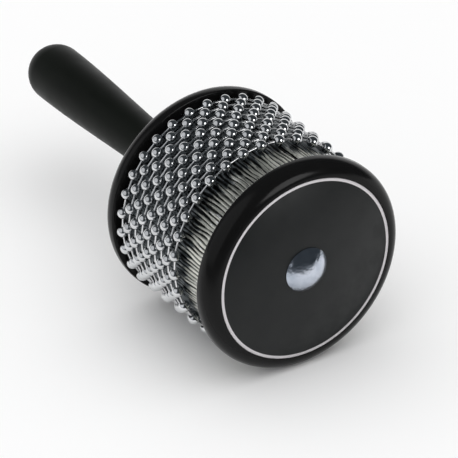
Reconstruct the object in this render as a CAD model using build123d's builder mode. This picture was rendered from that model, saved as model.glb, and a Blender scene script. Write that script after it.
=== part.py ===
from build123d import *
from math import cos, pi, radians, sin, tan
import os

# A cabasa: loops of steel ball chain lie round a ridged steel sleeve, between two round flanges
# on a moulded drum, and a carriage bolt through the drum screws into the handle behind it.
# Millimetres. The drum's axis is X, from the grip towards the front face, and +Z is up.
# The origin is on that axis, in the middle of the grip.

# Flanges and drum
grip_to_flange = 60.0  # from the middle of the grip to the back of the rear flange
flange_rise = 5.2  # rim of the flanges above the sleeve's ridges
flange_thickness = 8.2
flange_round = 6.0  # round-over of each flange's outward edge
flange_inner_edge = 0.6  # round of the edge beside the beads
drum_length = 60.0  # between the two flanges
core_wall = 3.2
core_rib = 3.0
core_ribs = 6
hub_dia = 20.0
drum_seat = 1.5  # how deep each end of the drum sits in its flange

# Ridged sleeve
sleeve_dia = 77.6  # over the ridges
sleeve_sheet = 0.45  # thickness of the steel under the ridges
ridge_height = 0.35
ridge_count = 200
seam_gap = 0.5  # butt seam of the rolled sheet
seam_angle = 80.4  # from +Y towards +Z

# Ball chain
loop_count = 9
beads_per_loop = 32
bead_dia = 4.6
bead_wall = 0.35
pin_dia = 1.0
loop_phase = 3.7  # first bead of the odd loops, from +Y towards +Z
rear_gap = 0.8  # between the rear flange and the first loop's beads

# Face disc
disc_thickness = 0.8
disc_sunk = 0.2  # below the flange's front

# Carriage bolt
bolt_dia = 7.9
bolt_head_dia = 18.3
bolt_head_height = 4.4
square_over_shank = 0.1  # the square's width beyond the shank's diameter
bolt_square_length = 5.0
bolt_engagement = 18.0  # depth of the bolt in the handle, behind the rear flange's back
bolt_end_chamfer = 1.0

# Handle and its threaded insert
handle_length = 120.8
handle_base_dia = 19.6
handle_neck_dia = 17.7
handle_neck_at = 14.0  # behind the rear flange's back
handle_end_dia = 24.1
handle_register = 2.0  # how far the handle sits in the rear flange
insert_dia = 12.0
insert_length = 22.0
insert_sunk = 0.5  # below the handle's front end
insert_groove = 0.5
insert_groove_width = 2.0
insert_bore_spare = 3.0  # empty bore behind the insert

# Clearances
bead_clearance = 0.3  # beads over the ridges
loop_clearance = 0.1  # between beads of neighbouring loops
chain_play = 0.05  # heads of the pins inside the beads
pin_play = 0.08  # pins in the beads' holes
skin_clearance = 0.05  # sleeve on core, face disc in its recess, insert in the handle
seat_clearance = 0.1  # drum and handle in the flanges, bolt in its holes
thread_clearance = 0.05

# Stations along the axis
rear_back = grip_to_flange
rear_face = rear_back + flange_thickness
front_back = rear_face + drum_length
front_face = front_back + flange_thickness
disc_front = front_face - disc_sunk
disc_back = disc_front - disc_thickness
drum_rear = rear_face - drum_seat
drum_span = drum_length + 2 * drum_seat
handle_front = rear_back + handle_register
handle_tip = rear_back - handle_length
insert_front = handle_front - insert_sunk
bolt_end = rear_back - bolt_engagement

# Widths and radii that follow from the sizes above
flange_dia = sleeve_dia + 2 * flange_rise
bolt_square = bolt_dia + square_over_shank
flange_flat = flange_dia / 2 - flange_round
sleeve_crest = sleeve_dia / 2
sleeve_root = sleeve_crest - ridge_height
sleeve_inside = sleeve_root - sleeve_sheet
core_outside = sleeve_inside - skin_clearance
core_inside = core_outside - core_wall
drum_recess = sleeve_crest + seat_clearance
bolt_hole = bolt_dia / 2 + seat_clearance
square_hole = bolt_square + 2 * seat_clearance
disc_hole = square_hole / 2**0.5 + seat_clearance
bead_circle = sleeve_crest + bead_clearance + bead_dia / 2
bead_inside = bead_dia / 2 - bead_wall
loop_pitch = bead_dia + loop_clearance
first_loop = rear_face + rear_gap + bead_dia / 2
bead_step = 360 / beads_per_loop
pin_span = 2 * bead_circle * sin(radians(bead_step / 2))
pin_hole = pin_dia / 2 + bead_dia / 2 * tan(radians(bead_step / 2)) + pin_play
pin_head = bead_inside / 2 - chain_play

os.makedirs("parts", exist_ok=True)


def write(piece, name):
    piece.part.label = name
    export_step(piece.part, f"parts/{name}.step")


def across(x):
    """The plane square to the axis at x, with Y and Z as its own directions."""
    return Plane.YZ.offset(x)


# Rear flange: a disc with its back edge rounded, a recess for the drum's end in its inner face
# and a register for the handle in its back.
with BuildPart(across(rear_back)) as rear_flange:
    Cylinder(flange_dia / 2, flange_thickness, align=(Align.CENTER, Align.CENTER, Align.MIN))
    fillet(rear_flange.edges().sort_by(Axis.X)[0], flange_round)
    fillet(rear_flange.edges().sort_by(Axis.X)[-1], flange_inner_edge)
    with BuildSketch(across(rear_face)):
        Circle(drum_recess)
    extrude(amount=-drum_seat, mode=Mode.SUBTRACT)
    with BuildSketch(across(rear_back)):
        Circle(handle_base_dia / 2 + seat_clearance)
    extrude(amount=handle_register, mode=Mode.SUBTRACT)
    with BuildSketch(across(rear_back)):
        Circle(bolt_hole)
    extrude(amount=flange_thickness, mode=Mode.SUBTRACT)
write(rear_flange, "rear_flange")

# Front flange: the same disc turned round, with a recess for the face disc and a square hole
# that keeps the bolt from turning.
with BuildPart(across(front_back)) as front_flange:
    Cylinder(flange_dia / 2, flange_thickness, align=(Align.CENTER, Align.CENTER, Align.MIN))
    fillet(front_flange.edges().sort_by(Axis.X)[-1], flange_round)
    fillet(front_flange.edges().sort_by(Axis.X)[0], flange_inner_edge)
    with BuildSketch(across(front_back)):
        Circle(drum_recess)
    extrude(amount=drum_seat, mode=Mode.SUBTRACT)
    with BuildSketch(across(disc_back)):
        Circle(flange_flat)
    extrude(amount=disc_thickness + disc_sunk, mode=Mode.SUBTRACT)
    with BuildSketch(across(front_back)):
        Rectangle(square_hole, square_hole)
    extrude(amount=flange_thickness, mode=Mode.SUBTRACT)
write(front_flange, "front_flange")

# Face disc: a thin plate in the front flange's recess, held by the bolt's head.
with BuildPart() as face_disc:
    with BuildSketch(across(disc_back)):
        Circle(flange_flat - skin_clearance)
        Circle(disc_hole, mode=Mode.SUBTRACT)
    extrude(amount=disc_thickness)
write(face_disc, "face_disc")

# Drum core: an open moulded cylinder with a hub for the bolt and ribs between the two.
with BuildPart() as drum_core:
    with BuildSketch(across(drum_rear)):
        Circle(core_outside)
        Circle(core_inside, mode=Mode.SUBTRACT)
        with PolarLocations((hub_dia / 2 + core_inside) / 2, core_ribs):
            Rectangle(core_inside - hub_dia / 2 + core_wall, core_rib)
        Circle(hub_dia / 2)
        Circle(bolt_hole, mode=Mode.SUBTRACT)
    extrude(amount=drum_span)
write(drum_core, "drum_core")

# Ridged sleeve: steel sheet rolled round the core, with a fine sharp ridge along the axis at each
# step and a butt seam.
half_ridge = pi / ridge_count
ridge_line = [
    (radius * cos(step * half_ridge), radius * sin(step * half_ridge))
    for step in range(2 * ridge_count)
    for radius in [sleeve_root if step % 2 else sleeve_crest]
]
with BuildPart() as ridged_sleeve:
    with BuildSketch(across(drum_rear)):
        with BuildLine():
            Polyline(*ridge_line, close=True)
        make_face()
        Circle(sleeve_inside, mode=Mode.SUBTRACT)
        with PolarLocations(sleeve_inside, 1, start_angle=seam_angle):
            Rectangle(4 * (sleeve_sheet + ridge_height), seam_gap, mode=Mode.SUBTRACT)
    extrude(amount=drum_span)
write(ridged_sleeve, "ridged_sleeve")

# Carriage bolt: a domed head, a square under it and a plain shank that ends in the insert.
dome_radius = ((bolt_head_dia / 2) ** 2 + bolt_head_height**2) / (2 * bolt_head_height)
with BuildPart() as carriage_bolt:
    with BuildSketch():
        with BuildLine():
            Line((disc_front, 0), (disc_front, bolt_head_dia / 2))
            RadiusArc(
                (disc_front, bolt_head_dia / 2), (disc_front + bolt_head_height, 0), dome_radius
            )
            Line((disc_front + bolt_head_height, 0), (disc_front, 0))
        make_face()
    revolve(axis=Axis.X)
    with BuildSketch(across(disc_front)):
        Rectangle(bolt_square, bolt_square)
    extrude(amount=-bolt_square_length)
    with BuildSketch(across(disc_front)):
        Circle(bolt_dia / 2)
    extrude(amount=bolt_end - disc_front)
    chamfer(carriage_bolt.edges().sort_by(Axis.X)[0], bolt_end_chamfer)
write(carriage_bolt, "carriage_bolt")

# Threaded insert: a metal sleeve pressed into the handle, with two grooves that lock it there.
insert_middle = insert_front - insert_length / 2
with BuildPart() as handle_insert:
    with BuildSketch(across(insert_front)):
        Circle(insert_dia / 2)
    extrude(amount=-insert_length)
    for groove_at in (insert_middle - insert_length / 4, insert_middle + insert_length / 4):
        with BuildSketch(across(groove_at - insert_groove_width / 2)):
            Circle(insert_dia / 2)
            Circle(insert_dia / 2 - insert_groove, mode=Mode.SUBTRACT)
        extrude(amount=insert_groove_width, mode=Mode.SUBTRACT)
    with BuildSketch(across(insert_front)):
        Circle(bolt_dia / 2 + thread_clearance)
    extrude(amount=-insert_length, mode=Mode.SUBTRACT)
write(handle_insert, "handle_insert")

# Handle: a turned grip with a flared base, a slim neck and a swell that ends in a half ball.
neck_x = rear_back - handle_neck_at
ball_x = handle_tip + handle_end_dia / 2
swell_third = (neck_x - ball_x) / 3
flare_third = handle_neck_at / 3
with BuildPart() as handle:
    with BuildSketch():
        with BuildLine():
            Line((handle_front, 0), (handle_front, handle_base_dia / 2))
            Line((handle_front, handle_base_dia / 2), (rear_back, handle_base_dia / 2))
            Bezier(
                (rear_back, handle_base_dia / 2),
                (rear_back - flare_third, (handle_base_dia + handle_neck_dia) / 4),
                (neck_x + flare_third, handle_neck_dia / 2),
                (neck_x, handle_neck_dia / 2),
            )
            Bezier(
                (neck_x, handle_neck_dia / 2),
                (neck_x - swell_third, handle_neck_dia / 2),
                (ball_x + swell_third, handle_end_dia / 2),
                (ball_x, handle_end_dia / 2),
            )
            RadiusArc((ball_x, handle_end_dia / 2), (handle_tip, 0), -handle_end_dia / 2)
            Line((handle_tip, 0), (handle_front, 0))
        make_face()
    revolve(axis=Axis.X)
    with BuildSketch(across(handle_front)):
        Circle(insert_dia / 2 + skin_clearance)
    extrude(amount=-(insert_sunk + insert_length), mode=Mode.SUBTRACT)
    with BuildSketch(across(insert_front - insert_length)):
        Circle(bolt_dia / 2 + seat_clearance)
    extrude(amount=-insert_bore_spare, mode=Mode.SUBTRACT)
write(handle, "handle")

# Ball chain. A bead is a hollow ball with a hole at each end, along Y, and a link pin is a
# dumb-bell whose heads are caught inside two neighbouring beads.
with BuildPart() as bead:
    Sphere(bead_dia / 2, rotation=(90, 0, 0))
    Sphere(bead_inside, rotation=(90, 0, 0), mode=Mode.SUBTRACT)
    Cylinder(pin_hole, 2 * bead_dia, rotation=(90, 0, 0), mode=Mode.SUBTRACT)

head_at = pin_span / 2 - pin_head - chain_play
with BuildPart() as link_pin:
    Cylinder(pin_dia / 2, 2 * head_at, rotation=(90, 0, 0))
    with Locations((0, head_at, 0), (0, -head_at, 0)):
        Sphere(pin_head, rotation=(90, 0, 0))

pin_circle = bead_circle * cos(radians(bead_step / 2))
for loop in range(loop_count):
    phase = loop_phase + loop % 2 * bead_step / 2
    loop_plane = across(first_loop + loop * loop_pitch)
    with BuildPart(loop_plane) as bead_loop:
        with PolarLocations(bead_circle, beads_per_loop, start_angle=phase):
            add(bead.part)
    write(bead_loop, f"bead_loop_{loop + 1}")
    with BuildPart(loop_plane) as link_loop:
        with PolarLocations(pin_circle, beads_per_loop, start_angle=phase + bead_step / 2):
            add(link_pin.part)
    write(link_loop, f"link_loop_{loop + 1}")
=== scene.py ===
import math

import bmesh
import bpy
from mathutils import Matrix, Vector, noise


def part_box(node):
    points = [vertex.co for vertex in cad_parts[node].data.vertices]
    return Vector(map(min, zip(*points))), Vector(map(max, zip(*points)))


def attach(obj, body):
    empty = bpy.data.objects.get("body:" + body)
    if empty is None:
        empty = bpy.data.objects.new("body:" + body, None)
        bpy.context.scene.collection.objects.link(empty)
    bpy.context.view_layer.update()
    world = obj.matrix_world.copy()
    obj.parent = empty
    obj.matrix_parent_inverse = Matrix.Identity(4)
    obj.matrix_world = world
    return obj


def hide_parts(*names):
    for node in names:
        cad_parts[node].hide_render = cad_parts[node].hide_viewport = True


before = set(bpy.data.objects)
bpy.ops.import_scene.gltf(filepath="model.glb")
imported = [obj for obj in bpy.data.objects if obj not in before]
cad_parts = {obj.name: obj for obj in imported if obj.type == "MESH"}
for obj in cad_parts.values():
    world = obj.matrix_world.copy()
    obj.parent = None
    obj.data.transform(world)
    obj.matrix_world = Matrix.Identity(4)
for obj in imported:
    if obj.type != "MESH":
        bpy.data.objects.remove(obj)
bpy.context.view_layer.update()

mm = 0.001
loopNumbers = range(1, 10)
drumBody = "drum_and_handle"
smoothAll = 180.0  # no edge is this sharp, in degrees


# Shaping helpers

def onAxis(x, radius, angle=0.0):
    # a point beside the drum's axis, the angle going from +Y towards +Z
    return Vector((x, radius * math.cos(angle), radius * math.sin(angle))) * mm


def arcPoints(centre, radius, start, end, steps):
    # (x, radius) points round a corner of a turned section, angles in degrees from +X towards the rim
    angles = [math.radians(start + (end - start) * i / steps) for i in range(steps + 1)]
    return [(centre[0] + radius * math.cos(a), centre[1] + radius * math.sin(a)) for a in angles]


def curvePoints(a, b, c, d, steps):
    # points of a Bezier stretch of a turned section
    ts = [i / steps for i in range(steps + 1)]
    return [
        tuple(
            a[k] * (1 - t) ** 3 + 3 * b[k] * t * (1 - t) ** 2 + 3 * c[k] * t * t * (1 - t) + d[k] * t**3
            for k in (0, 1)
        )
        for t in ts
    ]


def joinVerts(bm, verts, closed):
    ends = verts[1:] + verts[:1] if closed else verts[1:]
    for start, end in zip(verts, ends):
        bm.edges.new((start, end))


def drawSection(bm, section, angle=0.0, closed=False):
    # the half section of a turned piece as a chain of edges
    joinVerts(bm, [bm.verts.new(onAxis(x, radius, angle)) for x, radius in section], closed)


def spinSection(bm, steps, centre=(0, 0, 0), axis=(1, 0, 0), merge=0.0005):
    # merge is how near points of the ends and the axis become one, in mm
    bmesh.ops.spin(
        bm, geom=bm.verts[:] + bm.edges[:], cent=centre, axis=axis,
        angle=2 * math.pi, steps=steps, use_merge=True,
    )
    bmesh.ops.remove_doubles(bm, verts=bm.verts[:], dist=merge * mm)
    bmesh.ops.recalc_face_normals(bm, faces=bm.faces[:])


def turnedPiece(section, steps, closed):
    bm = bmesh.new()
    drawSection(bm, section, closed=closed)
    spinSection(bm, steps)
    return bm


def copyRound(bm, count, step):
    # equal copies round the drum, step in radians
    bmesh.ops.spin(
        bm, geom=bm.verts[:] + bm.edges[:] + bm.faces[:], cent=(0, 0, 0), axis=(1, 0, 0),
        angle=step * (count - 1), steps=count - 1, use_duplicate=True,
    )


def finishPiece(name, bm, material, body, node, sharpAbove=40.0):
    # edges stay sharp above an angle in degrees
    for edge in bm.edges:
        edge.smooth = len(edge.link_faces) != 2 or edge.calc_face_angle() < math.radians(sharpAbove)
    for face in bm.faces:
        face.smooth = True
    mesh = bpy.data.meshes.new(name)
    bm.to_mesh(mesh)
    bm.free()
    mesh.materials.append(material)
    piece = bpy.data.objects.new(name, mesh)
    bpy.context.scene.collection.objects.link(piece)
    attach(piece, body)
    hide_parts(node)
    return piece


def addSubdivision(piece, levels):
    subdivision = piece.modifiers.new("roundOff", "SUBSURF")
    subdivision.levels = levels
    subdivision.render_levels = levels


# Material helpers

def newMaterial(name):
    material = bpy.data.materials.new(name)
    material.use_nodes = True
    tree = material.node_tree
    return material, tree, tree.nodes["Principled BSDF"]


def addNode(tree, kind, **settings):
    node = tree.nodes.new(kind)
    for key, value in settings.items():
        setattr(node, key, value)
    return node


noiseRoughness = 0.55
noiseSpan = (0.3, 0.7)  # where most of a noise's values lie


def noiseAt(tree, scale, detail=3.0, along=1.0):
    # noise on the piece's own coordinates, scale in features per metre
    # an along below 1 draws it out along the axis
    coords = addNode(tree, "ShaderNodeTexCoord")
    mapping = addNode(tree, "ShaderNodeMapping")
    mapping.inputs["Scale"].default_value = (along, 1, 1)
    texture = addNode(tree, "ShaderNodeTexNoise")
    texture.inputs["Scale"].default_value = scale
    texture.inputs["Detail"].default_value = detail
    texture.inputs["Roughness"].default_value = noiseRoughness
    tree.links.new(coords.outputs["Object"], mapping.inputs["Vector"])
    tree.links.new(mapping.outputs["Vector"], texture.inputs["Vector"])
    return texture.outputs["Fac"]


def mapTo(tree, value, fromLow, fromHigh, low, high):
    node = addNode(tree, "ShaderNodeMapRange")
    for socket, number in zip(("From Min", "From Max", "To Min", "To Max"), (fromLow, fromHigh, low, high)):
        node.inputs[socket].default_value = number
    tree.links.new(value, node.inputs["Value"])
    return node.outputs["Result"]


def mixColours(tree, fac, first, second):
    node = addNode(tree, "ShaderNodeMix", data_type="RGBA")
    tree.links.new(fac, node.inputs["Factor"])
    for socket, colour in (("A", first), ("B", second)):
        target = next(i for i in node.inputs if i.name == socket and i.type == "RGBA")
        if isinstance(colour, tuple):
            target.default_value = (*colour, 1.0)
        else:
            tree.links.new(colour, target)
    return next(o for o in node.outputs if o.type == "RGBA")


def addBump(tree, shader, height, strength, distance):
    bump = addNode(tree, "ShaderNodeBump")
    bump.inputs["Strength"].default_value = strength
    bump.inputs["Distance"].default_value = distance
    tree.links.new(height, bump.inputs["Height"])
    tree.links.new(bump.outputs["Normal"], shader.inputs["Normal"])


def axisRadius(tree):
    # distance from the drum's axis, in metres
    coords = addNode(tree, "ShaderNodeTexCoord")
    flatten = addNode(tree, "ShaderNodeVectorMath", operation="MULTIPLY")
    flatten.inputs[1].default_value = (0, 1, 1)
    length = addNode(tree, "ShaderNodeVectorMath", operation="LENGTH")
    tree.links.new(coords.outputs["Object"], flatten.inputs[0])
    tree.links.new(flatten.outputs["Vector"], length.inputs[0])
    return length.outputs["Value"]


def mathOf(tree, operation, *values):
    node = addNode(tree, "ShaderNodeMath", operation=operation)
    for socket, value in zip(node.inputs, values):
        if isinstance(value, (int, float)):
            socket.default_value = value
        else:
            tree.links.new(value, socket)
    return node.outputs["Value"]


# Black plastics

plastics = {
    "handleSatin": {
        "dark": (0.004, 0.005, 0.004),
        "worn": (0.007, 0.009, 0.007),
        "rough": (0.34, 0.46),
        "shine": 0.08,
        "grain": 2600.0,
        "grainDepth": 0.02,
    },
    "flangeGloss": {
        "dark": (0.005, 0.005, 0.005),
        "worn": (0.008, 0.008, 0.008),
        "rough": (0.12, 0.20),
        "shine": 0.13,
        "rings": 1600.0,
        "grainDepth": 0.05,
    },
    "coreMoulded": {
        "dark": (0.030, 0.030, 0.030),
        "worn": (0.050, 0.050, 0.048),
        "rough": (0.50, 0.65),
        "shine": 0.40,
        "grain": 1200.0,
        "grainDepth": 0.03,
    },
}
plasticWear = {
    "cloud": {"scale": 55.0, "detail": 4.0},
    "smudge": {"scale": 140.0, "detail": 5.0},
    "grainDetail": 2.0,
    "bump": 0.25,
}


def turnedLines(tree, scale):
    # fine rings left by the lathe: noise that only varies along and away from the axis
    coords = addNode(tree, "ShaderNodeTexCoord")
    split = addNode(tree, "ShaderNodeSeparateXYZ")
    place = addNode(tree, "ShaderNodeCombineXYZ")
    texture = addNode(tree, "ShaderNodeTexNoise")
    texture.inputs["Scale"].default_value = scale
    tree.links.new(coords.outputs["Object"], split.inputs["Vector"])
    tree.links.new(split.outputs["X"], place.inputs["X"])
    tree.links.new(axisRadius(tree), place.inputs["Y"])
    tree.links.new(place.outputs["Vector"], texture.inputs["Vector"])
    return texture.outputs["Fac"]


def plasticMaterial(name):
    look = plastics[name]
    material, tree, shader = newMaterial(name)
    shader.inputs["Specular IOR Level"].default_value = look["shine"]
    cloud = noiseAt(tree, **plasticWear["cloud"])
    tree.links.new(mixColours(tree, cloud, look["dark"], look["worn"]), shader.inputs["Base Color"])
    smudge = noiseAt(tree, **plasticWear["smudge"])
    tree.links.new(mapTo(tree, smudge, *noiseSpan, *look["rough"]), shader.inputs["Roughness"])
    if "rings" in look:
        surface = turnedLines(tree, look["rings"])
    else:
        surface = noiseAt(tree, look["grain"], plasticWear["grainDetail"])
    addBump(tree, shader, surface, plasticWear["bump"], look["grainDepth"] * mm)
    return material


handleSatin, flangeGloss, coreMoulded = (plasticMaterial(name) for name in plastics)


# Metals

metals = {
    "boltChrome": {
        "dull": (0.44, 0.49, 0.57),
        "bright": (0.60, 0.64, 0.72),
        "rough": (0.12, 0.26),
        "dents": 460.0,
        "dentDepth": 0.80,
    },
    "beadChrome": {
        "dull": (0.60, 0.61, 0.62),
        "bright": (0.72, 0.73, 0.74),
        "rough": (0.05, 0.12),
        "dents": 700.0,
        "dentDepth": 0.02,
    },
    "linkSteel": {
        "dull": (0.62, 0.63, 0.64),
        "bright": (0.78, 0.78, 0.79),
        "rough": (0.12, 0.22),
        "dents": 900.0,
        "dentDepth": 0.02,
    },
    "insertBrass": {
        "dull": (0.62, 0.45, 0.18),
        "bright": (0.74, 0.57, 0.27),
        "rough": (0.22, 0.36),
        "dents": 800.0,
        "dentDepth": 0.02,
    },
}
metalWear = {
    "cloud": {"scale": 160.0, "detail": 2.0},
    "cloudSpan": (0.35, 0.65),
    "haze": {"scale": 420.0, "detail": 4.0},
    "bump": 0.3,
}


def metalMaterial(name):
    look = metals[name]
    material, tree, shader = newMaterial(name)
    shader.inputs["Metallic"].default_value = 1.0
    shade = mapTo(tree, noiseAt(tree, **metalWear["cloud"]), *metalWear["cloudSpan"], 0, 1)
    tree.links.new(mixColours(tree, shade, look["dull"], look["bright"]), shader.inputs["Base Color"])
    haze = noiseAt(tree, **metalWear["haze"])
    tree.links.new(mapTo(tree, haze, *noiseSpan, *look["rough"]), shader.inputs["Roughness"])
    addBump(tree, shader, noiseAt(tree, look["dents"]), metalWear["bump"], look["dentDepth"] * mm)
    return material


boltChrome, beadChrome, linkSteel, insertBrass = (metalMaterial(name) for name in metals)


# Flanges

flange = {
    "radius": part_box("front_flange")[1].z / mm,
    "roundOver": 6.0,
    "roundSteps": 14,
    "innerEdge": 0.6,
    "innerSteps": 3,
    "drumSeat": 1.5,
    "drumRecess": 38.9,
    "discRecess": 1.0,
    "handleSeat": 2.0,
    "handleRecess": 9.9,
    "boltHole": 5.9,
    "rearHole": 4.05,
    "spinSteps": 160,
}


def flangeOutline(inner, outer):
    # from the inner face's edge round the rim to where the round-over ends; inner and outer are x
    way = 1 if outer > inner else -1
    rim = flange["radius"]
    edge, corner = flange["innerEdge"], flange["roundOver"]
    innerArc = arcPoints((inner + way * edge, rim - edge), edge, 90 + way * 90, 90, flange["innerSteps"])
    outerArc = arcPoints((outer - way * corner, rim - corner), corner, 90, 90 - way * 90, flange["roundSteps"])
    return innerArc + outerArc


frontBack, frontFace = (corner.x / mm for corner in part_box("front_flange"))
rearBack, rearFace = (corner.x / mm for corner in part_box("rear_flange"))
frontSection = [
    (frontBack + flange["drumSeat"], flange["boltHole"]),
    (frontBack + flange["drumSeat"], flange["drumRecess"]),
    (frontBack, flange["drumRecess"]),
    *flangeOutline(frontBack, frontFace),
    (frontFace - flange["discRecess"], flange["radius"] - flange["roundOver"]),
    (frontFace - flange["discRecess"], flange["boltHole"]),
]
rearSection = [
    (rearFace - flange["drumSeat"], flange["rearHole"]),
    (rearFace - flange["drumSeat"], flange["drumRecess"]),
    (rearFace, flange["drumRecess"]),
    *flangeOutline(rearFace, rearBack),
    (rearBack, flange["handleRecess"]),
    (rearBack + flange["handleSeat"], flange["handleRecess"]),
    (rearBack + flange["handleSeat"], flange["rearHole"]),
]
for name, section in (("front_flange", frontSection), ("rear_flange", rearSection)):
    bm = turnedPiece(section, flange["spinSteps"], closed=True)
    finishPiece("gloss_" + name, bm, flangeGloss, drumBody, name)
print("flanges turned")


# Face disc with its printed ring

face = {
    "back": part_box("face_disc")[0].x / mm,
    "front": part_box("face_disc")[1].x / mm,
    "radius": 37.95,
    "hole": 5.9,
    "edge": 0.15,
    "ringInner": 36.70,
    "ringOuter": 37.90,
    "ringBlur": 0.08,
    "black": (0.0100, 0.0112, 0.0114),
    "greyed": (0.0160, 0.0176, 0.0180),
    "shine": 0.22,
    "rough": (0.34, 0.48),
    "ink": (0.80, 0.77, 0.79),
    "cloud": {"scale": 70.0, "detail": 5.0},
    "smudge": {"scale": 180.0, "detail": 5.0},
    "grain": {"scale": 1500.0, "detail": 2.0},
    "grainShare": 0.3,  # of the ink's thickness
    "bump": 0.25,
    "inkDepth": 0.03,
    "sharpAbove": 60.0,
    "spinSteps": 160,
}


def faceMaterial():
    material, tree, shader = newMaterial("facePrinted")
    shader.inputs["Specular IOR Level"].default_value = face["shine"]
    radius = axisRadius(tree)
    innerEdge, outerEdge = (
        [(face[edge] + side * face["ringBlur"]) * mm for side in (-1, 1)] for edge in ("ringInner", "ringOuter")
    )
    inside = mapTo(tree, radius, *innerEdge, 0, 1)
    outside = mapTo(tree, radius, *outerEdge, 1, 0)
    ring = mathOf(tree, "MULTIPLY", inside, outside)
    ground = mixColours(tree, noiseAt(tree, **face["cloud"]), face["black"], face["greyed"])
    tree.links.new(mixColours(tree, ring, ground, face["ink"]), shader.inputs["Base Color"])
    smudge = noiseAt(tree, **face["smudge"])
    tree.links.new(mapTo(tree, smudge, *noiseSpan, *face["rough"]), shader.inputs["Roughness"])
    grain = mathOf(tree, "MULTIPLY", noiseAt(tree, **face["grain"]), face["grainShare"])
    addBump(tree, shader, mathOf(tree, "ADD", grain, ring), face["bump"], face["inkDepth"] * mm)
    return material


faceSection = [
    (face["back"], face["hole"]),
    (face["back"], face["radius"]),
    (face["front"] - face["edge"], face["radius"]),
    (face["front"], face["radius"] - face["edge"]),
    (face["front"], face["hole"]),
]
bm = turnedPiece(faceSection, face["spinSteps"], closed=True)
finishPiece("printed_face", bm, faceMaterial(), drumBody, "face_disc", face["sharpAbove"])
print("face disc printed with its ring")


# Carriage bolt

bolt = {
    "seat": face["front"],
    "top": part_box("carriage_bolt")[1].x / mm,
    "end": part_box("carriage_bolt")[0].x / mm,
    "headRadius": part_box("carriage_bolt")[1].z / mm,
    "lip": 0.35,  # upright edge under the dome
    "domeSteps": 16,
    "square": 8.0,
    "squareLength": 5.0,
    "shankRadius": 3.95,
    "chamfer": 1.0,
    "spinSteps": 96,
}


def boltMesh():
    bm = bmesh.new()
    rise = bolt["top"] - bolt["seat"] - bolt["lip"]
    ball = (bolt["headRadius"] ** 2 + rise**2) / (2 * rise)
    reach = math.degrees(math.asin(bolt["headRadius"] / ball))
    neck = bolt["seat"] - bolt["squareLength"]
    head = [
        (bolt["seat"], bolt["shankRadius"]),
        (bolt["seat"], bolt["headRadius"]),
        *arcPoints((bolt["top"] - ball, 0.0), ball, reach, 0.0, bolt["domeSteps"]),
    ]
    shank = [
        (bolt["seat"], bolt["shankRadius"]),
        (bolt["end"] + bolt["chamfer"], bolt["shankRadius"]),
        (bolt["end"], bolt["shankRadius"] - bolt["chamfer"]),
        (bolt["end"], 0.0),
    ]
    drawSection(bm, head)
    drawSection(bm, shank)
    spinSection(bm, bolt["spinSteps"])
    size = Vector((bolt["seat"] - neck, bolt["square"], bolt["square"])) * mm
    middle = onAxis((bolt["seat"] + neck) / 2, 0.0)
    bmesh.ops.create_cube(bm, size=1.0, matrix=Matrix.Translation(middle) @ Matrix.Diagonal((*size, 1.0)))
    return bm


domedBolt = finishPiece("domed_bolt", boltMesh(), boltChrome, drumBody, "carriage_bolt")
print("bolt turned")


# Handle

grip = {
    "front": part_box("handle")[1].x / mm,
    "tip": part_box("handle")[0].x / mm,
    "endRadius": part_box("handle")[1].z / mm,
    "baseRadius": 9.8,
    "neckRadius": 8.85,
    "neckBehind": 14.0,
    "boreRadius": 6.05,
    "boreLength": 22.5,
    "curveSteps": 14,
    "ballSteps": 14,
    "spinSteps": 96,
}


def gripSection():
    neck = rearBack - grip["neckBehind"]
    ball = grip["tip"] + grip["endRadius"]
    flare, swell = grip["neckBehind"] / 3, (neck - ball) / 3
    mid = (grip["baseRadius"] + grip["neckRadius"]) / 2
    base = curvePoints(
        (rearBack, grip["baseRadius"]), (rearBack - flare, mid),
        (neck + flare, grip["neckRadius"]), (neck, grip["neckRadius"]), grip["curveSteps"] // 2,
    )
    body = curvePoints(
        (neck, grip["neckRadius"]), (neck - swell, grip["neckRadius"]),
        (ball + swell, grip["endRadius"]), (ball, grip["endRadius"]), grip["curveSteps"],
    )
    end = arcPoints((ball, 0.0), grip["endRadius"], 90, 180, grip["ballSteps"])
    return [
        (grip["front"] - grip["boreLength"], 0.0),
        (grip["front"] - grip["boreLength"], grip["boreRadius"]),
        (grip["front"], grip["boreRadius"]),
        (grip["front"], grip["baseRadius"]),
        *base,
        *body[1:],
        *end[1:],
    ]


bm = turnedPiece(gripSection(), grip["spinSteps"], closed=False)
finishPiece("swelling_grip", bm, handleSatin, drumBody, "handle")
print("handle turned")


# Ridged steel sleeve

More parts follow.
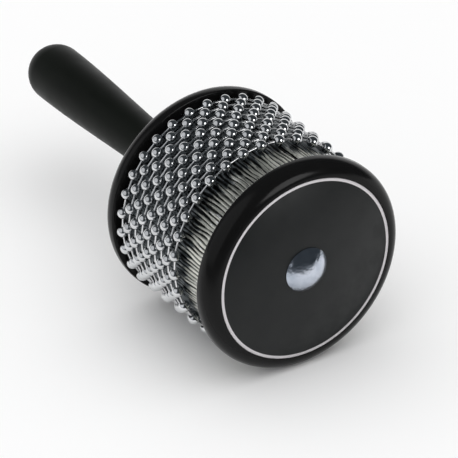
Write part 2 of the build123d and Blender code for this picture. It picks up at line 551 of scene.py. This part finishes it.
sleeve = {
    "start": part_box("ridged_sleeve")[0].x / mm,
    "end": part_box("ridged_sleeve")[1].x / mm,
    "crest": 38.8,
    "ridgeHeight": 0.5,
    "inside": 38.0,
    "ridgesInPatch": 10,
    "patches": 14,
    "pointsPerRidge": 12,
    "lengthSteps": 42,
    "merge": 0.002,
    "sharpAbove": 70.0,
    "seamAngle": 80.4,
    "seamGap": 0.5,
    "seamFold": 0.9,  # sheet that turns down at one side of the seam
    "seamEdge": 0.6,  # and stands up at the other side
    "seamLap": 4.5,  # with a flatter strip beside it
    "lapHeight": 0.45,
    "lapRidges": 0.3,
    "wander": 0.45,  # in bars
    "slitsWidest": 111.0,  # just in front of the chain
    "slitReach": 14.0,
    "slitWidth": 0.85,
    "slitNarrows": 0.60,
    "slitVaries": 1.1,
    "slitDepth": 0.9,
    "slitFades": 0.35,
    "slitBreaks": 0.5,
    "crown": 0.30,  # how far a bar's sides round off
    "crownDents": 0.22,
    "steel": (0.40, 0.41, 0.37),
    "pale": (0.84, 0.84, 0.77),
    # painted glints: white specks on the bars standing in for highlights
    "paintedGlintColour": (0.96, 0.97, 0.96),
    # near black low on the ridges: painted shade in the slits and the seam's fold
    "recessShade": (0.006, 0.007, 0.007),
    "chainShadeAndDirt": (0.19, 0.21, 0.22),  # painted shade under and between the beads, with some grime where the chain rests
    "chainShadeAndDirtTo": (108.5, 111.5),
    "bandDirtAndShade": (0.12, 0.14, 0.15),  # a ragged band in front of the chain: grime where dirt gathers, and painted shade cast by the beads
    "bandDirtAndShadeTo": 112.6,
    "bandDirtAndShadeFade": 0.8,
    "bandDirtAndShadeRagged": 5.0,
    "metallic": 0.92,
    "rough": (0.20, 0.50),
    "recessShadeShares": (0.70, 0.15),  # of the ridges' height, all painted recess shade and none
    "streaks": {"scale": 900.0, "detail": 3.0, "along": 0.12},
    "barTones": {"scale": 480.0, "detail": 1.0, "along": 0.05},
    "toneSpan": (0.75, 1.25),
    "paintedGlintNoise": {"scale": 620.0, "detail": 2.0, "along": 0.3},
    "paintedGlintSpan": (0.64, 0.70),
    "teeth": {"scale": 1100.0, "detail": 3.0, "along": 0.06},
    "bump": 0.5,
    "streakDepth": 0.08,
}


def noiseFor(x, y, z):
    # the numbers in its calls stretch each noise and keep it apart from the others
    return noise.noise(Vector((x, y, z)))


def ridgeHeightAt(x, angle):
    # share of the full height: rounded bars that wander, with slits between them
    turn = angle / (2 * math.pi) * sleeve["ridgesInPatch"] * sleeve["patches"]
    across = turn + sleeve["wander"] * noiseFor(x * 0.12, turn * 0.37, 3.1)
    slit = round(across)
    away = 2 * abs(across - slit)
    own = noiseFor(slit * 7.31, 2.6, 5.2)
    beyond = min(1.0, abs(x - sleeve["slitsWidest"]) / sleeve["slitReach"])
    width = (sleeve["slitWidth"] - sleeve["slitNarrows"] * beyond) * (1 + sleeve["slitVaries"] * own)
    depth = sleeve["slitDepth"] - sleeve["slitFades"] * beyond * (0.5 + own)
    depth += sleeve["slitBreaks"] * noiseFor(x * 0.5 + slit * 2.71, slit * 3.17, 1.3)
    crown = sleeve["crown"] * (1 - away) ** 2 + sleeve["crownDents"] * noiseFor(x * 0.22, turn * 3.3, 7.7)
    cut = max(crown, depth * max(0.0, 1.0 - (away / width) ** 2))
    return 1.0 - max(0.0, min(1.0, cut))


def seamedHeightAt(x, angle):
    # the same with the seam, whose sides are told apart by their distance round the drum
    turn = (angle - math.radians(sleeve["seamAngle"]) + math.pi) % (2 * math.pi) - math.pi
    fromSeam = turn * sleeve["crest"]
    if 0 < fromSeam < sleeve["seamFold"]:
        return 0.0
    if -sleeve["seamEdge"] < fromSeam <= 0:
        return 1.0
    height = ridgeHeightAt(x, angle)
    if -sleeve["seamLap"] < fromSeam <= 0:
        return sleeve["lapHeight"] + sleeve["lapRidges"] * height
    return height


def sleeveMesh():
    bm = bmesh.new()
    step = (sleeve["end"] - sleeve["start"]) / sleeve["lengthSteps"]
    outside = [(sleeve["start"] + i * step, sleeve["crest"]) for i in range(sleeve["lengthSteps"] + 1)]
    inside = [(sleeve["end"], sleeve["inside"]), (sleeve["start"], sleeve["inside"])]
    gap = sleeve["seamGap"] / sleeve["crest"]
    first = math.radians(sleeve["seamAngle"]) + gap / 2
    ridgeStep = (2 * math.pi - gap) / (sleeve["ridgesInPatch"] * sleeve["patches"])
    drawSection(bm, outside + inside, first, closed=True)
    bmesh.ops.spin(
        bm, geom=bm.verts[:] + bm.edges[:], cent=(0, 0, 0), axis=(1, 0, 0),
        angle=ridgeStep, steps=sleeve["pointsPerRidge"],
    )
    copyRound(bm, sleeve["ridgesInPatch"], ridgeStep)
    copyRound(bm, sleeve["patches"], ridgeStep * sleeve["ridgesInPatch"])
    bmesh.ops.remove_doubles(bm, verts=bm.verts[:], dist=sleeve["merge"] * mm)
    bmesh.ops.holes_fill(bm, edges=[e for e in bm.edges if e.is_boundary], sides=0)
    bmesh.ops.recalc_face_normals(bm, faces=bm.faces[:])
    middle = (sleeve["crest"] + sleeve["inside"]) / 2 * mm
    for vert in bm.verts:
        radius = math.hypot(vert.co.y, vert.co.z)
        if radius > middle:
            angle = math.atan2(vert.co.z, vert.co.y) % (2 * math.pi)
            drop = sleeve["ridgeHeight"] * (1 - seamedHeightAt(vert.co.x / mm, angle))
            shrink = 1 - drop * mm / radius
            vert.co.y *= shrink
            vert.co.z *= shrink
    return bm


def sleeveMaterial():
    material, tree, shader = newMaterial("ridgedSteel")
    shader.inputs["Metallic"].default_value = sleeve["metallic"]
    # the deeper below the crests, the darker: painted shade in the slits
    levels = ((sleeve["crest"] - sleeve["ridgeHeight"] * share) * mm for share in sleeve["recessShadeShares"])
    raised = mapTo(tree, axisRadius(tree), *levels, 0, 1)
    streak = noiseAt(tree, **sleeve["streaks"])
    barTone = noiseAt(tree, **sleeve["barTones"])
    tone = mapTo(tree, mathOf(tree, "ADD", streak, barTone), *sleeve["toneSpan"], 0, 1)
    # painted glints, random white specks on the crests
    paintedGlintMask = mapTo(tree, noiseAt(tree, **sleeve["paintedGlintNoise"]), *sleeve["paintedGlintSpan"], 0, 1)
    toned = mixColours(tree, tone, sleeve["steel"], sleeve["pale"])
    bright = mixColours(tree, paintedGlintMask, toned, sleeve["paintedGlintColour"])
    coords = addNode(tree, "ShaderNodeTexCoord")
    along = addNode(tree, "ShaderNodeSeparateXYZ")
    tree.links.new(coords.outputs["Object"], along.inputs["Vector"])
    # a ragged darker band in front of the chain: grime and painted shade of the beads
    reach = sleeve["bandDirtAndShadeRagged"] * mm
    ragged = mapTo(tree, noiseAt(tree, **sleeve["teeth"]), *noiseSpan, -reach, reach)
    place = mathOf(tree, "ADD", along.outputs["X"], ragged)
    fade = ((sleeve["bandDirtAndShadeTo"] + side * sleeve["bandDirtAndShadeFade"]) * mm for side in (-1, 1))
    pastBandDirtAndShade = mapTo(tree, place, *fade, 0, 1)
    # darker still under the chain: painted shade between the beads, with some grime
    pastChainShadeAndDirt = mapTo(tree, along.outputs["X"], *(x * mm for x in sleeve["chainShadeAndDirtTo"]), 0, 1)
    dull = mixColours(tree, pastChainShadeAndDirt, sleeve["chainShadeAndDirt"], sleeve["bandDirtAndShade"])
    crests = mixColours(tree, pastBandDirtAndShade, dull, bright)
    tree.links.new(mixColours(tree, raised, sleeve["recessShade"], crests), shader.inputs["Base Color"])
    tree.links.new(mapTo(tree, streak, *noiseSpan, *sleeve["rough"]), shader.inputs["Roughness"])
    addBump(tree, shader, streak, sleeve["bump"], sleeve["streakDepth"] * mm)
    return material


finishPiece(
    "ridged_steel", sleeveMesh(), sleeveMaterial(), drumBody, "ridged_sleeve", sleeve["sharpAbove"],
)
print("sleeve ridged")


# Ball chain

chain = {
    "beadsPerLoop": 32,
    "circle": 41.4,
    "bead": 2.3,
    "wall": 0.35,
    "phase": 3.7,  # first bead of the odd loops, degrees from +Y towards +Z
    "sides": 6,
    "rings": (22.5, 56.25, 90.0, 123.75, 157.5),  # degrees from the hole's axis
    "pin": 0.45,
    "pinHead": 0.9,
    "pinReach": 3.1,  # from the middle of a pin to the middle of its head
    "headCap": 0.9,  # and from there to its end
    "headShoulder": 0.8,
    "shoulderShare": 0.7,  # of the head's radius
    "subdivisions": 2,
}
beadStep = 360 / chain["beadsPerLoop"]
ringStep = math.radians(chain["rings"][1] - chain["rings"][0])
sideShrink = (2 + math.cos(2 * math.pi / chain["sides"])) / 3  # how far subdivision draws a ring in
ringShrink = (2 + math.cos(ringStep)) / 3


def spinChainPiece(section, x, circle, angle, closed):
    # section is (along the chain, radius) and turns about the chain's own line
    bm = bmesh.new()
    centre = Vector((x, circle, 0)) * mm
    joinVerts(bm, [bm.verts.new(centre + Vector((radius, 0, along)) * mm) for along, radius in section], closed)
    spinSection(bm, chain["sides"], centre, (0, 0, 1))
    turn = Matrix.Rotation(math.radians(angle), 3, "X")
    bmesh.ops.rotate(bm, verts=bm.verts[:], cent=(0, 0, 0), matrix=turn)
    copyRound(bm, chain["beadsPerLoop"], math.radians(beadStep))
    return bm


def beadSection():
    # out along the outer shell and back along the inner one
    outer, inner = chain["bead"], chain["bead"] - chain["wall"]
    points = []
    for radius, angles in ((outer, chain["rings"]), (inner, chain["rings"][::-1])):
        for degrees in angles:
            a = math.radians(degrees)
            points.append((radius * math.cos(a) / ringShrink, radius * math.sin(a) / ringShrink / sideShrink))
    return points


def pinSection():
    rod, head, reach = chain["pin"] / sideShrink, chain["pinHead"] / sideShrink, chain["pinReach"]
    half = [
        (reach + chain["headCap"], 0.0),
        (reach + chain["headShoulder"], head * chain["shoulderShare"]),
        (reach, head),
        (reach - chain["headShoulder"], rod),
    ]
    return half + [(0.0, rod)] + [(-along, radius) for along, radius in half[::-1]]


pinCircle = chain["circle"] * math.cos(math.radians(beadStep / 2))
for n in loopNumbers:
    low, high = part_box(f"bead_loop_{n}")
    x = (low.x + high.x) / 2 / mm
    angle = chain["phase"] + (n - 1) % 2 * beadStep / 2
    bm = spinChainPiece(beadSection(), x, chain["circle"], angle, closed=True)
    beads = finishPiece(f"beads_{n}", bm, beadChrome, f"loop_{n}", f"bead_loop_{n}", smoothAll)
    addSubdivision(beads, chain["subdivisions"])
    bm = spinChainPiece(pinSection(), x, pinCircle, angle + beadStep / 2, closed=False)
    pins = finishPiece(f"pins_{n}", bm, linkSteel, f"loop_{n}", f"link_loop_{n}", smoothAll)
    addSubdivision(pins, chain["subdivisions"])
print("chain strung:", len(loopNumbers), "loops of", chain["beadsPerLoop"], "beads")


# Pieces inside keep their solids

for node, material in (("drum_core", coreMoulded), ("handle_insert", insertBrass)):
    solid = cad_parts[node]
    solid.data.materials.clear()
    solid.data.materials.append(material)
print("inner pieces finished")


# Camera at the photograph's place

shot = {
    "aim": Vector((0.11394, -0.02019, 0.01299)),
    "azimuth": 57.18,
    "elevation": 30.88,
    "distance": 1.318,
    "lens": 275.1,
    "sensor": 36.0,
    "clipEnd": 20.0,
}


def backFrom(azimuth, elevation):
    # towards a camera at this azimuth and elevation
    a, e = math.radians(azimuth), math.radians(elevation)
    return Vector((math.sin(a) * math.cos(e), -math.cos(a) * math.cos(e), math.sin(e)))


def placeFacing(thing, target, direction, distance):
    thing.location = target + direction * distance
    thing.rotation_euler = direction.to_track_quat("Z", "Y").to_euler()
    bpy.context.scene.collection.objects.link(thing)


lensData = bpy.data.cameras.new("photoCamera")
lensData.lens = shot["lens"]
lensData.sensor_width = shot["sensor"]
lensData.clip_end = shot["clipEnd"]
photoCamera = bpy.data.objects.new("photoCamera", lensData)
placeFacing(photoCamera, shot["aim"], backFrom(shot["azimuth"], shot["elevation"]), shot["distance"])
bpy.context.scene.camera = photoCamera
bpy.context.scene.view_settings.view_transform = "Standard"
print("camera placed")


# White floor and backdrop, a soft fill overhead, a wide soft ceiling to the left and one lamp at the right

studio = {
    "white": (1.0, 1.0, 1.0),
    "floorHalf": 3.0,
    "floorWhite": (0.92, 0.92, 0.92),
    "floorLift": 0.03,  # brings the seen floor up to white
    "floorDim": (0.10, 0.11, 0.12),  # in mirrors only, where the paper would end near the camera
    "floorFront": (0.07, 0.24),  # metres towards the camera, start and end of that fade
    "room": (0.046, 0.053, 0.058),  # in mirrors, as the ceiling and the lamp are
    "fillLow": (0.20, 0.20, 0.20),  # soft light on matt surfaces, not mirrored: near the floor
    "fillHigh": (1.63, 1.63, 1.63),  # and overhead
    "fillDirection": Vector((0.10, -0.12, 1.0)),
    "fillEdge": (75.0, 15.0),  # degrees from its middle, outer and inner end of the soft edge
    "ceiling": (0.66, 0.67, 0.69),
    "ceilingDirection": Vector((-0.10, -0.90, 0.42)),
    "ceilingEdge": (48.0, 39.0),
    "backdropDirection": Vector((-0.86, 0.42, -0.60)),  # the white that mirrors see behind the object
    "backdropEdge": (72.0, 57.0),
    "lampDirection": Vector((0.88, 0.30, 0.36)),
    "lampDistance": 1.0,
    "lampSize": 0.56,
    "lampPower": 3.2,
}


def mirrored(tree, path):
    # 1 for rays from gloss and through glass
    return mathOf(tree, "MAXIMUM", path.outputs["Is Glossy Ray"], path.outputs["Is Transmission Ray"])


def towardsCamera(tree):
    # 0 on the floor round the object, 1 far in front of it
    front = backFrom(shot["azimuth"], 0)
    coords = addNode(tree, "ShaderNodeTexCoord")
    ahead = addNode(tree, "ShaderNodeVectorMath", operation="DOT_PRODUCT")
    ahead.inputs[1].default_value = front
    tree.links.new(coords.outputs["Object"], ahead.inputs[0])
    fade = addNode(tree, "ShaderNodeMapRange", interpolation_type="SMOOTHSTEP")
    for socket, distance in zip(("From Min", "From Max"), studio["floorFront"]):
        fade.inputs[socket].default_value = shot["aim"].dot(front) + distance
    tree.links.new(ahead.outputs["Value"], fade.inputs["Value"])
    return fade.outputs["Result"]


def floorMaterial():
    material = bpy.data.materials.new("paperFloor")
    material.use_nodes = True
    tree = material.node_tree
    tree.nodes.clear()
    path = addNode(tree, "ShaderNodeLightPath")
    paper = addNode(tree, "ShaderNodeBsdfDiffuse")
    paperEnd = mathOf(tree, "MULTIPLY", towardsCamera(tree), path.outputs["Is Glossy Ray"])
    tree.links.new(mixColours(tree, paperEnd, studio["floorWhite"], studio["floorDim"]), paper.inputs["Color"])
    lift = addNode(tree, "ShaderNodeEmission")
    seen = mathOf(tree, "MAXIMUM", path.outputs["Is Camera Ray"], mirrored(tree, path))
    tree.links.new(mathOf(tree, "MULTIPLY", seen, studio["floorLift"]), lift.inputs["Strength"])
    both = addNode(tree, "ShaderNodeAddShader")
    output = addNode(tree, "ShaderNodeOutputMaterial")
    tree.links.new(paper.outputs["BSDF"], both.inputs[0])
    tree.links.new(lift.outputs["Emission"], both.inputs[1])
    tree.links.new(both.outputs["Shader"], output.inputs["Surface"])
    return material


def addFloor():
    bm = bmesh.new()
    bmesh.ops.create_grid(bm, x_segments=1, y_segments=1, size=studio["floorHalf"])
    bmesh.ops.translate(bm, verts=bm.verts[:], vec=(0, 0, -flange["radius"] * mm))
    mesh = bpy.data.meshes.new("floor")
    bm.to_mesh(mesh)
    bm.free()
    mesh.materials.append(floorMaterial())
    floor = bpy.data.objects.new("floor", mesh)
    bpy.context.scene.collection.objects.link(floor)


def softPatch(tree, direction, edge):
    # 1 inside a round patch of the room about a direction, with a soft edge
    coords = addNode(tree, "ShaderNodeTexCoord")
    facing = addNode(tree, "ShaderNodeVectorMath", operation="DOT_PRODUCT")
    facing.inputs[1].default_value = direction.normalized()
    tree.links.new(coords.outputs["Generated"], facing.inputs[0])
    outer, inner = (math.cos(math.radians(degrees)) for degrees in edge)
    patch = addNode(tree, "ShaderNodeMapRange", interpolation_type="SMOOTHSTEP")
    patch.inputs["From Min"].default_value = outer
    patch.inputs["From Max"].default_value = inner
    tree.links.new(facing.outputs["Value"], patch.inputs["Value"])
    return patch.outputs["Result"]


def addWorld():
    world = bpy.data.worlds.new("studio")
    bpy.context.scene.world = world
    world.use_nodes = True
    tree = world.node_tree
    path = addNode(tree, "ShaderNodeLightPath")
    overhead = softPatch(tree, studio["fillDirection"], studio["fillEdge"])
    fill = mixColours(tree, overhead, studio["fillLow"], studio["fillHigh"])
    beside = softPatch(tree, studio["ceilingDirection"], studio["ceilingEdge"])
    room = mixColours(tree, beside, studio["room"], studio["ceiling"])
    lit = mixColours(tree, path.outputs["Is Diffuse Ray"], room, fill)
    patch = softPatch(tree, studio["backdropDirection"], studio["backdropEdge"])
    behind = mathOf(tree, "MULTIPLY", mirrored(tree, path), patch)
    backdrop = mathOf(tree, "MAXIMUM", path.outputs["Is Camera Ray"], behind)
    seen = mixColours(tree, backdrop, lit, studio["white"])
    tree.links.new(seen, tree.nodes["Background"].inputs["Color"])


def addLamp():
    light = bpy.data.lights.new("rightLamp", "AREA")
    light.shape = "DISK"
    light.energy = studio["lampPower"]
    light.size = studio["lampSize"]
    lamp = bpy.data.objects.new("rightLamp", light)
    lamp.visible_camera = False
    lamp.visible_diffuse = False  # a mirrored light only, the fill lights matt surfaces
    shaded = bpy.data.collections.new("outOfLamp")  # the photograph's dome mirrors no lamp
    shaded.objects.link(domedBolt)
    lamp.light_linking.receiver_collection = shaded
    shaded.collection_objects[0].light_linking.link_state = "EXCLUDE"
    placeFacing(lamp, shot["aim"], studio["lampDirection"].normalized(), studio["lampDistance"])


addFloor()
addWorld()
addLamp()
print("studio lit")
